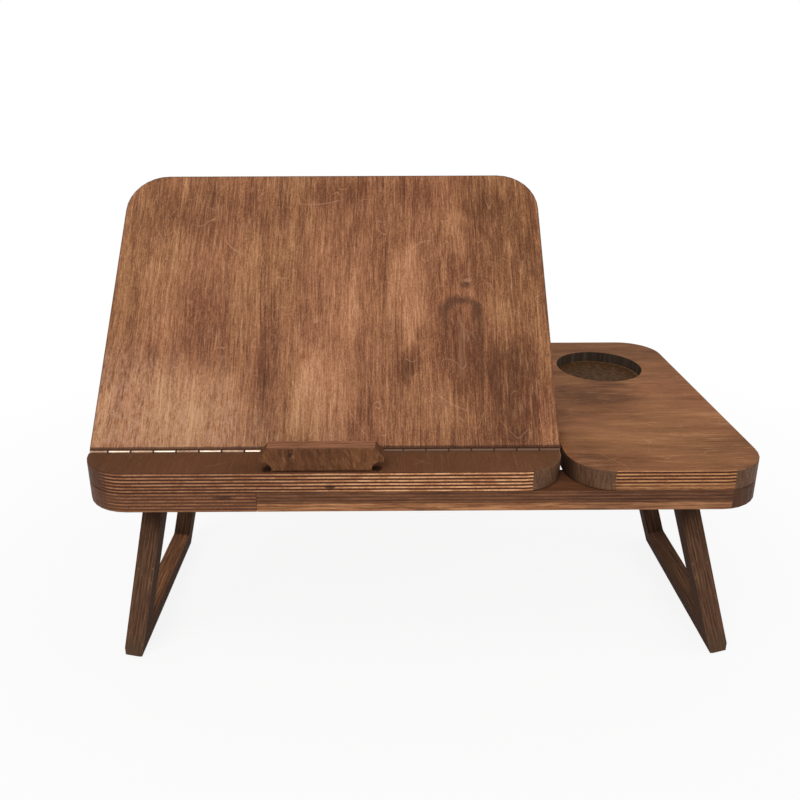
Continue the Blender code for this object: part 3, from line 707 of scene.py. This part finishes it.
def burnt_recess(finish, metres, turns, face, edge):
    """The cup recess with a painted highlight on its far rim, the tan sheet low in the front edge, and
    painted shade beside the front bar.
    """
    along, over = metres[0] - cup_centre[0], metres[1] - cup_centre[1]
    radius = span(along, over)
    inside = finish.below(radius, cup_radius + 0.0002, cup_radius + 0.0005)
    sunk = finish.below(metres[2], board_thickness - 0.0012, board_thickness - 0.0004)
    mottle = finish.noise(finish.point(metres[0] * 190, metres[1] * 190, 1.0), 4, 0.65)
    ground = finish.ramp(mottle, ((0.34, 60, 42, 26), (0.52, 84, 59, 36), (0.70, 112, 80, 50)))
    wall = finish.ramp(mottle, ((0.36, 58, 49, 42), (0.60, 82, 71, 62), (0.74, 112, 98, 86)))
    # A painted highlight: a thin pale line where the recess's floor meets its wall, on the far right side
    # only.
    rim = finish.below(abs(radius - cup_radius + 0.0022), 0.0003, 0.0009)
    ground = finish.blend(rim * finish.step(along + over, 0.0, 0.03) * 0.6, ground, paint(158, 124, 92))
    face = finish.blend(inside * sunk, face, ground)
    torn = finish.waves(metres, (80, 80, 900), 3, 0.65)
    tan = finish.ramp(torn, ((0.36, 112, 74, 49), (0.52, 162, 114, 76), (0.66, 204, 154, 110)))
    low = finish.below(metres[2], *tan_height) * straight_edge(finish, turns)
    low = low * finish.step(metres[0], *tan_start)
    edge = finish.blend(low * 0.55, edge, tan)
    # Painted shade: the edge darkens towards the gap beside the front bar, and its end by the gap goes nearly
    # black.
    edge = finish.wash(finish.below(metres[0], *shaded_end), edge, (0.74, 0.71, 0.68))
    edge = finish.blend(finish.below(metres[0], *gap_shadow_end) * 0.8, edge, paint(44, 28, 20))
    edge = finish.blend(inside, edge, wall)
    return face, edge


side_stops = ((0.26, 100, 66, 45), (0.45, 132, 90, 62), (0.58, 147, 102, 71), (0.82, 180, 131, 94))
side_blotches = (
    ((-0.004, 0.182), (0.042, 0.058), -0.17),
    ((-0.008, 0.178), (0.026, 0.038), -0.16),
    ((0.028, 0.196), (0.006, 0.030), -0.16),
    ((0.030, 0.190), (0.004, 0.040), 0.14),
    ((-0.049, 0.185), (0.003, 0.030), 0.12),
    ((-0.004, 0.134), (0.030, 0.020), -0.06),
    ((-0.060, 0.250), (0.050, 0.050), 0.05),
    ((-0.110, 0.200), (0.030, 0.060), 0.03),
    ((0.110, 0.160), (0.030, 0.050), 0.06),
)
side_ply = {**bright_ply, "light": paint(202, 150, 102), "amber": paint(170, 118, 80)}
side_finish = plywood("side_panel_stain", (0, 0, upper_bottom), (1, 0, 0), (0, 1, 0), 8.2, stops=side_stops,
                      blotches=side_blotches, shares=(0.78, 0.52, 0.40, 0.38), flecked=0.32, ply=side_ply,
                      extra=burnt_recess, fade=(0, 0.1535, 0.1490), rough_end=(0.1180, 0.1260))
dress(side_finish, "side_panel")


# %% Front bar
scoop_shadow_half = (0.0058, 0.0062)
scoop_shadows = ((-0.1365, -0.1545), (-0.0465, -0.1540))
core_gap = ((-0.0852, 0.0050), (0.0052, 0.0020))
seam_height, seam_end = (0.0006, 0.0013), (-0.085, -0.060)
dull_end, dark_corner = (-0.19, -0.02), (-0.275, -0.250)
bar_scratches = (
    ((0.015, -0.110), 0.0400, (-0.008, -0.143), (0.012, 0.008)),
    ((-0.040, -0.110), 0.0450, (-0.012, -0.143), (0.010, 0.008)),
    ((-0.200, -0.100), 0.0500, (-0.180, -0.146), (0.014, 0.006)),
)


def uneven_edge(finish, metres, turns, face, edge):
    """A front edge, duller at the left, with a gap in its core and a dark seam; painted shadows under the
    lip's scoops.
    """
    dull = finish.below(metres[1], *dull_end)
    edge = finish.blend(dull * 0.30, edge, paint(106, 70, 50))
    edge = finish.wash(dull, edge, (0.72, 0.67, 0.68))
    gap = oval(finish, (metres[2], metres[1]), 3.3, *core_gap)
    edge = finish.blend(gap * 0.85, edge, paint(44, 26, 20))
    seam = finish.below(metres[2], *seam_height) * finish.below(metres[1], *seam_end)
    edge = finish.blend(seam * 0.75, edge, paint(40, 24, 18))
    edge = finish.wash(finish.below(metres[1], *dark_corner), edge, (0.90, 0.82, 0.76))
    # Painted shadows: dark ovals on the bar's top under the lip's two scoops.
    for number, place in enumerate(scoop_shadows):
        scoop_shadow = oval(finish, metres, 8.0 + number, place, scoop_shadow_half)
        face = finish.blend(scoop_shadow * 0.9, face, paint(34, 21, 16))
    for number, arc in enumerate(bar_scratches):
        face = finish.blend(scratch(finish, metres, 80.0 + number, *arc) * 0.25, face, paint(160, 118, 90))
    return face, edge


bar_stops = ((0.28, 78, 52, 36), (0.50, 102, 70, 49), (0.72, 126, 90, 64))
bar_blotches = (((-0.200, -0.140), (0.120, 0.060), -0.04), ((0.040, -0.140), (0.120, 0.060), 0.06))
left_fade = (1, -0.260, -0.288)
bar_finish = plywood("front_bar_stain", (0, 0, upper_bottom), (0, 1, 0), (1, 0, 0), 5.4, stops=bar_stops,
                     blotches=bar_blotches, shares=(0.42, 0.08, 0.12, 0.34), flecked=0.07, ply=bright_ply,
                     extra=uneven_edge, fade=left_fade)
dress(bar_finish, "front_bar")


# %% Lower layer
band_height = (0.0072, 0.0082)
shaded_right = (0.100, 0.135)
dark_patch = ((-0.1747, 0.0136), (0.0110, 0.0022))


def tan_band(finish, metres, turns, face, edge):
    """The lower half of the edge is tan and the upper half dark."""
    long_fibre = finish.waves(metres, (34, 34, 700), 4, 0.7)
    tan = finish.ramp(long_fibre, ((0.36, 116, 76, 51), (0.50, 164, 114, 78), (0.66, 200, 149, 108)))
    dark = finish.ramp(long_fibre, ((0.36, 66, 43, 32), (0.52, 98, 66, 47), (0.66, 132, 92, 66)))
    low = finish.below(metres[2], *band_height)
    band = finish.blend(low, dark, tan)
    edge = finish.blend(straight_edge(finish, turns) * finish.mix(low, 0.55, 0.85), edge, band)
    mottle = finish.waves(metres, (90, 90, 420), 3, 0.6)
    edge = finish.blend(finish.step(mottle, 0.50, 0.68) * 0.24, edge, paint(84, 56, 40))
    return face, finish.wash(finish.step(metres[0], *shaded_right), edge, (0.80, 0.80, 0.84))


def patched_edge(finish, metres, turns, face, edge):
    """Olive stain that half hides the sheets, and a dark patch, in the lower left board's edge."""
    olive = finish.waves((metres[1], metres[0], metres[2]), (44, 44, 240), 3, 0.6)
    edge = finish.blend(finish.step(olive, 0.40, 0.62) * 0.42, edge, paint(108, 74, 51))
    patch = oval(finish, (metres[2], metres[1]), 5.7, *dark_patch)
    return face, finish.blend(patch * 0.7, edge, paint(50, 31, 23))


right_finish = plywood("base_right_stain", (0, 0, lower_bottom), (1, 0, 0), (0, 1, 0), 13.6, extra=tan_band,
                       shares=(0.30, 0.30, 0.30, 0.15))
left_finish = plywood("base_left_stain", (0, 0, lower_bottom), (0, 1, 0), (1, 0, 0), 17.1, extra=patched_edge,
                      shares=(0.30, 0.30, 0.30, 0.15), fade=left_fade)
dress(right_finish, "base_right_board")
dress(left_finish, "base_left_board")

# %% [markdown]
# ### Lip, prop and racks
# The lip is a short block of the same plywood, set on edge so that its face looks at the sitter. The prop
# and the racks are hidden in the photograph. They are stained like the rest, the prop from thinner board.

# %% Lip
lip_stops = ((0.26, 60, 37, 25), (0.48, 88, 56, 36), (0.62, 108, 71, 47), (0.82, 142, 99, 68))
lip_rear = -0.1465
lip_knot = ((-0.1167, 0.0155), (0.0022, 0.0022))
beside_knot = ((-0.1145, 0.0140), (0.0018, 0.0024))
lip_foot_shadow = (0.0005, 0.0032)
stroke_lean = 0.4


def mottled_lip(finish, metres, turns, face, edge):
    """Orange mottling, fine strokes and a small knot on the front, a pinkish brown top, a painted shadow at
    the foot.
    """
    along, over, depth = metres
    mottle = finish.waves((over, along, depth), (150, 90, 150), 4, 0.7)
    face = finish.blend(finish.step(mottle, 0.36, 0.76) * 0.46, face, paint(134, 88, 56))
    strokes = finish.noise(finish.point((over + along * stroke_lean) * 620, along * 150, depth * 50), 4, 0.72)
    patch = finish.step(finish.waves((over, along, depth), (60, 60, 60), 2, 0.5), 0.40, 0.62)
    face = finish.blend(finish.step(strokes, 0.51, 0.68) * (0.16 + patch * 0.34), face, paint(160, 116, 84))
    face = finish.blend(finish.below(strokes, 0.28, 0.46) * 0.32, face, paint(56, 35, 23))
    face = finish.blend(oval(finish, metres, 4.9, *lip_knot) * 0.8, face, paint(48, 28, 20))
    face = finish.blend(oval(finish, metres, 5.3, *beside_knot) * 0.22, face, paint(190, 140, 102))
    # Painted shadow: the lowest few millimetres of the lip's front, where it stands on the bar.
    face = finish.blend(finish.below(along, *lip_foot_shadow) * 0.5, face, paint(52, 32, 22))
    streaks = finish.waves(metres, (300, 40, 500), 3, 0.6)
    pink = finish.blend(finish.step(streaks, 0.36, 0.66), paint(126, 85, 62), paint(158, 111, 84))
    return face, finish.blend(finish.step(turns[0], 0.60, 0.85) * 0.9, edge, pink)


lip_finish = plywood("lip_stain", (0, lip_rear, table_top), (0, 0, 1), (1, 0, 0), 21.5, thickness=0.0135,
                     sheets=9, stops=lip_stops, shares=(0.5, 0.35, 0.45, 0.30), flecked=0.15,
                     extra=mottled_lip)
dress(lip_finish, "lip_stop")

# %% Prop and racks
# The racks are solid wood: a middle sheet thicker than they are keeps the lines off them.
prop_lean = math.radians(36.548)
prop_pin = Vector((-0.016376, -0.042026, 0.302847))
prop_face_offset = 0.0082
prop_grain = Vector((0, math.cos(prop_lean), -math.sin(prop_lean)))
prop_up = Vector((0, math.sin(prop_lean), math.cos(prop_lean)))
prop_finish = plywood("prop_stain", prop_pin - prop_up * prop_face_offset, (1, 0, 0), prop_grain, 25.2,
                      thickness=0.0065, sheets=5)
dress(prop_finish, "prop_board")
rack_finish = plywood("rack_stain", (0, 0, lower_bottom), (0, 1, 0), (1, 0, 0), 31.0,
                      thickness=0.2, sheets=3)
dress(rack_finish, "rack_left", "rack_right")

# %% [markdown]
# ### Leg frames
# Each leg is one frame sawn from a board, so the plies run round it like the lines of a book and show along
# the uprights' front edges. The legs took the most stain, and painted shade darkens them further under the
# table.

# %% Leg frames
# Each frame: the side it leans to, its splay, its pin's place, and how strongly painted light warms the top
# of the rail between its feet.
leg_pins = {"left": (-1, math.radians(12.5), -0.237426, 1.0),
            "right": (1, math.radians(16.8), 0.221974, 0.15)}
leg_pin_height = 0.2023
leg_inner = 0.0017
leg_shadow = paint(34, 22, 15)
shadow_end, foot_start, rear_shadow_start = (0.020, 0.085), (0.176, 0.206), (0.05, 0.07)
facing_from = (0.5, 0.8)


def leg_wear(finish, metres, turns, face, edge, rail_top_light):
    """Painted shade under the table, at the rear and on the faces, warm painted light on the rail, a greyish
    foot and knocks.
    """
    rubbed = finish.waves(metres, (30, 30, 760), 4, 0.7)
    rub = finish.ramp(rubbed, ((0.36, 62, 44, 34), (0.51, 100, 73, 56), (0.66, 156, 118, 92)))
    edge = finish.blend(0.55, edge, rub)
    edge = finish.blend(finish.step(metres[0], *foot_start) * 0.45, edge, paint(94, 80, 67))
    # Painted shadow: the top of the frame, under the table, goes nearly black.
    top = finish.below(metres[0], *shadow_end)
    # Painted light: the rail's top, which faces up towards the lamps, is made lighter and warmer.
    edge = finish.wash(finish.step(turns[0], *facing_from) * rail_top_light, edge, (1.90, 1.70, 1.45))
    # Painted shadow on the rear upright, where a face looks along the table's depth.
    rear_shadow = finish.step(metres[1], *rear_shadow_start) * finish.step(turns[1], *facing_from)
    edge = finish.blend(rear_shadow * 0.55, edge, leg_shadow)
    knock = finish.waves(metres, (160, 300, 300), 2, 0.5)
    edge = finish.blend(finish.step(knock, 0.68, 0.77) * 0.40, edge, paint(156, 122, 98))
    # Painted shade: the faces are darkened a long way towards a deep brown.
    face = finish.blend(0.68, face, paint(56, 38, 27))
    return finish.blend(top * 0.80, face, leg_shadow), finish.blend(top * 0.90, edge, leg_shadow)


for side_name, (hand, splay, pin_x, rail_top_light) in leg_pins.items():
    down = Vector((hand * math.sin(splay), 0, -math.cos(splay)))
    outward = Vector((hand * math.cos(splay), 0, math.sin(splay)))
    start = Vector((pin_x, 0, leg_pin_height)) + outward * leg_inner
    # A shade of 0.80 darkens the whole frame as painted shade under the table.
    leg_finish = plywood(side_name + "_leg_stain", start, down, (0, 1, 0), 37.0 + hand, shade=0.80,
                         ply=leg_ply, shine=0.04, roughness=0.75,
                         extra=partial(leg_wear, rail_top_light=rail_top_light))
    dress(leg_finish, side_name + "_leg_frame")

# %% [markdown]
# ## Hinges, pins and dowels
# Brass is metal, so its colour sits in its reflection and the roughness does the work. A slow noise dulls
# it in patches, and the stain that ran over the knuckles right of the lip leaves them brown and matt. The
# leaf on the bar is duller than the one on the panel, so every second knuckle shines.

# %% Metal and dowels
knuckle_pitch = 0.0197
first_joint = -0.2797657
joint_width = (0.030, 0.055)
stain_start = (-0.085, -0.055)
grime = paint(52, 34, 25)
stained_brass = paint(108, 74, 52)


def scaled_noise(finish, scale, detail):
    """Noise with this many waves in a metre in every direction."""
    spread = finish.node("ShaderNodeVectorMath", {"operation": "SCALE"}, {0: finish.place, "Scale": scale})
    return finish.noise(spread, detail, 0.6)


def brass_finish(name, bright, dark, roughness, long_hinge=True):
    """Brass; on the long hinge it is browned by stain from the lip on, with grime between the knuckles."""
    brass = Finish(name, roughness=roughness, metallic=1.0)
    cloudy = scaled_noise(brass, 90.0, 3)
    dulled = brass.mix(cloudy, roughness, roughness + 0.25)
    bare = brass.blend(brass.step(cloudy, 0.35, 0.7), bright, dark)
    if not long_hinge:
        brass.feed("Roughness", dulled)
        brass.feed("Base Color", bare)
        return brass
    sideways = brass.dot(brass.place, (1, 0, 0))
    smeared = brass.step(sideways + (cloudy - 0.5) * 0.06, *stain_start)
    since_joint = (sideways - first_joint) / knuckle_pitch
    joint = brass.below(abs(since_joint - since_joint.math("ROUND")), *joint_width)
    bare = brass.blend(joint * 0.9, bare, grime)
    stained = brass.blend(joint * 0.6, stained_brass, grime)
    grimy = smeared.math("MAXIMUM", joint)
    brass.feed("Base Color", brass.blend(smeared * 0.94, bare, stained))
    brass.feed("Metallic", 1 - grimy * 0.88)
    brass.feed("Roughness", brass.mix(grimy, dulled, 0.6))
    return brass


bright_brass = brass_finish("hinge_brass_bright", paint(234, 212, 190), paint(210, 182, 154), 0.32)
plain_brass = brass_finish("hinge_brass_plain", paint(226, 190, 142), paint(196, 156, 108), 0.30,
                           long_hinge=False)
dull_brass = brass_finish("hinge_brass_dull", paint(214, 182, 156), paint(172, 138, 112), 0.45)
zinc = Finish("screw_zinc", roughness=0.35, metallic=1.0)
cloudy = scaled_noise(zinc, 700.0, 2)
zinc.feed("Base Color", zinc.blend(cloudy, paint(206, 202, 194), paint(160, 156, 150)))
zinc.feed("Roughness", zinc.mix(cloudy, 0.25, 0.5))
beech = Finish("dowel_beech", roughness=0.6)
stretched = beech.node("ShaderNodeVectorMath", {"operation": "MULTIPLY"}, {0: beech.place, 1: (60, 900, 900)})
beech.feed("Base Color", beech.blend(beech.noise(stretched, 3), paint(206, 168, 124), paint(170, 128, 88)))


def small_part_finish(name):
    """The finish of a leaf, pin, screw or dowel, or None for the boards."""
    if name in ("panel_hinge_bar_leaf", "panel_hinge_pin"):
        return dull_brass
    if name == "panel_hinge_panel_leaf":
        return bright_brass
    if name.endswith("leaf"):
        return plain_brass
    if name.endswith("_pin") or "screw" in name:
        return zinc
    return beech if "dowel" in name else None


for finish in (dull_brass, bright_brass, plain_brass, zinc, beech):
    dress(finish, *[name for name in nodes if small_part_finish(name) is finish])

# %% [markdown]
# ## Countersunk screws
# The measured solid of a screw is a plain turned shape. A real one has a cross recess in its head and a
# thread, so each size is modelled once, head up at the origin, and copied to every place. A disc is
# extruded and narrowed ring by ring for head, neck and point. The thread is a small triangle swept round
# by the Screw modifier, and the cross is cut by two tapered blocks.

# %% Helpers for selecting in edit mode
def add_primitive(operator, **values):
    bpy.ops.object.select_all(action="DESELECT")
    operator(**values)
    return bpy.context.active_object


def pick_faces(piece, wanted):
    """Edit mode with only the faces selected whose middle and normal pass."""
    bpy.ops.object.mode_set(mode="EDIT")
    bpy.ops.mesh.select_mode(type="FACE")
    bpy.ops.mesh.select_all(action="DESELECT")
    bpy.ops.object.mode_set(mode="OBJECT")
    for face in piece.data.polygons:
        face.select = wanted(face.center, face.normal)
    bpy.ops.object.mode_set(mode="EDIT")


def apply_modifier(piece, kind, **settings):
    modifier = piece.modifiers.new(kind.lower(), kind)
    for key, value in settings.items():
        setattr(modifier, key, value)
    bpy.context.view_layer.objects.active = piece
    bpy.ops.object.modifier_apply(modifier=modifier.name)


def remove_object(piece):
    bpy.data.objects.remove(piece, do_unlink=True)


# %% Head, neck and point
# Heights and radii that follow the shank's radius are shares of it.
rim_height = 0.00015
root_share, tip_share = 0.72, 0.12
neck_height, shoulder_height, point_height = 0.8, 0.3, 2.0


def screw_body(name, head, shank, length):
    """A disc, extruded down and narrowed step by step: head, neck, shoulder, root and point."""
    body = add_primitive(bpy.ops.mesh.primitive_cylinder_add, vertices=32, radius=head, depth=rim_height,
                         location=(0, 0, -rim_height / 2))
    body.name = name
    bpy.ops.object.transform_apply(location=True, rotation=True, scale=True)
    pick_faces(body, lambda middle, normal: normal.z < -0.9)
    root = shank * root_share
    straight = length - head - shank * (neck_height + shoulder_height + point_height - 1)
    depth, radius = -rim_height, head
    for down, wide in ((head - shank, shank), (shank * neck_height, shank), (shank * shoulder_height, root),
                       (straight, root), (shank * point_height, root * tip_share)):
        depth -= down
        bpy.ops.mesh.extrude_region_move(TRANSFORM_OT_translate={"value": (0, 0, -down)})
        bpy.ops.transform.resize(value=(wide / radius, wide / radius, 1), center_override=(0, 0, depth))
        radius = wide
    bpy.ops.object.mode_set(mode="OBJECT")
    return body


print("the root of the thread is", root_share, "of the shank")


# %% Thread
pitch_share = 1.24
ridge_share, ridge_centre = 0.20, 0.80
thread_start, thread_end = 0.4, 2.4
steps_per_turn = 14


def screw_thread(shank, length, head):
    """A small triangle swept down round the root, from below the head to above the point."""
    pitch = shank * pitch_share
    start, end = -(head + shank * thread_start), -(length - shank * thread_end)
    turns = int((start - end) / pitch)
    ridge = add_primitive(bpy.ops.mesh.primitive_circle_add, vertices=3, radius=shank * ridge_share,
                          fill_type="NOTHING", location=(shank * ridge_centre, 0, start),
                          rotation=(math.pi / 2, 0, -math.pi / 2))
    bpy.ops.object.transform_apply(location=True, rotation=True, scale=True)
    apply_modifier(ridge, "SCREW", axis="Z", angle=2 * math.pi * turns, screw_offset=-pitch * turns,
                   steps=steps_per_turn * turns, render_steps=steps_per_turn * turns, iterations=1,
                   use_merge_vertices=False)
    return ridge


print("one turn of thread is", pitch_share, "times the shank's radius")


# %% Cross recess
slot_reach, slot_width, slot_depth = 0.62, 0.24, 0.75
slot_floor = 0.30


def cross_cutter(head, turned_by):
    """A block that narrows downwards, half of the cross recess; its top stands over the head."""
    reach, wide, deep = head * slot_reach, head * slot_width, head * slot_depth
    block = add_primitive(bpy.ops.mesh.primitive_cube_add, size=1, location=(0, 0, -deep / 2 + deep * 0.1),
                          rotation=(0, 0, turned_by))
    block.scale = (reach * 2, wide, deep * 1.2)
    bpy.ops.object.transform_apply(location=True, rotation=True, scale=True)
    pick_faces(block, lambda middle, normal: normal.z < -0.9)
    bpy.ops.transform.resize(value=(slot_floor, slot_floor, 1), center_override=(0, 0, -deep))
    bpy.ops.object.mode_set(mode="OBJECT")
    return block


print("the recess is", slot_depth, "of the head's radius deep")


# %% One model for each size
def countersunk_screw(name, head, shank, length):
    """Body, cross recess and thread joined in one mesh."""
    body = screw_body(name, head, shank, length)
    for angle in (0, math.pi / 2):
        cutter = cross_cutter(head, angle)
        apply_modifier(body, "BOOLEAN", operation="DIFFERENCE", solver="EXACT", object=cutter)
        remove_object(cutter)
    ridge = screw_thread(shank, length, head)
    bpy.ops.object.select_all(action="DESELECT")
    ridge.select_set(True)
    body.select_set(True)
    bpy.context.view_layer.objects.active = body
    bpy.ops.object.join()
    bpy.ops.object.shade_smooth_by_angle(angle=math.radians(35))
    body.data.materials.clear()
    body.data.materials.append(zinc.material)
    return body


# Each size: the head's radius, the shank's radius and the length.
screw_sizes = {"layer": (0.0038, 0.0018, 0.030), "leaf": (0.0021, 0.0010, 0.011),
               "prop": (0.0021, 0.0010, 0.0055)}
models = {kind: countersunk_screw("screw_model_" + kind, *size) for kind, size in screw_sizes.items()}
print("faces", {kind: len(model.data.polygons) for kind, model in models.items()})

# %% A copy in every screw's place
flat_within = 0.00002


def screw_axis(node):
    """Middle of the head's top and the direction from there to the tip, read from a solid."""
    points = [node.matrix_world @ vertex.co for vertex in node.data.vertices]
    middle = sum(points, Vector()) / len(points)
    tip = max(points, key=lambda point: (point - middle).length)
    reach = max((point - tip).length for point in points)
    ring = [point for point in points if (point - tip).length > reach - flat_within]
    top = sum(ring, Vector()) / len(ring)
    return top, (tip - top).normalized()


screw_names = [name for name in nodes if "screw" in name]
for name in screw_names:
    kind = "layer" if name.startswith("layer") else "prop" if name.startswith("prop_hinge_prop") else "leaf"
    bpy.ops.object.select_all(action="DESELECT")
    models[kind].select_set(True)
    bpy.context.view_layer.objects.active = models[kind]
    bpy.ops.object.duplicate(linked=False)
    screw = bpy.context.active_object
    screw.name = name + "_threaded"
    top, aim = screw_axis(nodes[name])
    swing = Vector((0, 0, -1)).rotation_difference(aim)
    screw.matrix_world = Matrix.Translation(top) @ swing.to_matrix().to_4x4()
    bpy.ops.object.transform_apply(location=True, rotation=True, scale=True)
    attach(screw, body_of(nodes[name])[0])
    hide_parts(name)
for model in models.values():
    remove_object(model)
print("screws", len(screw_names), "the last at", [round(value, 4) for value in top])

# %% [markdown]
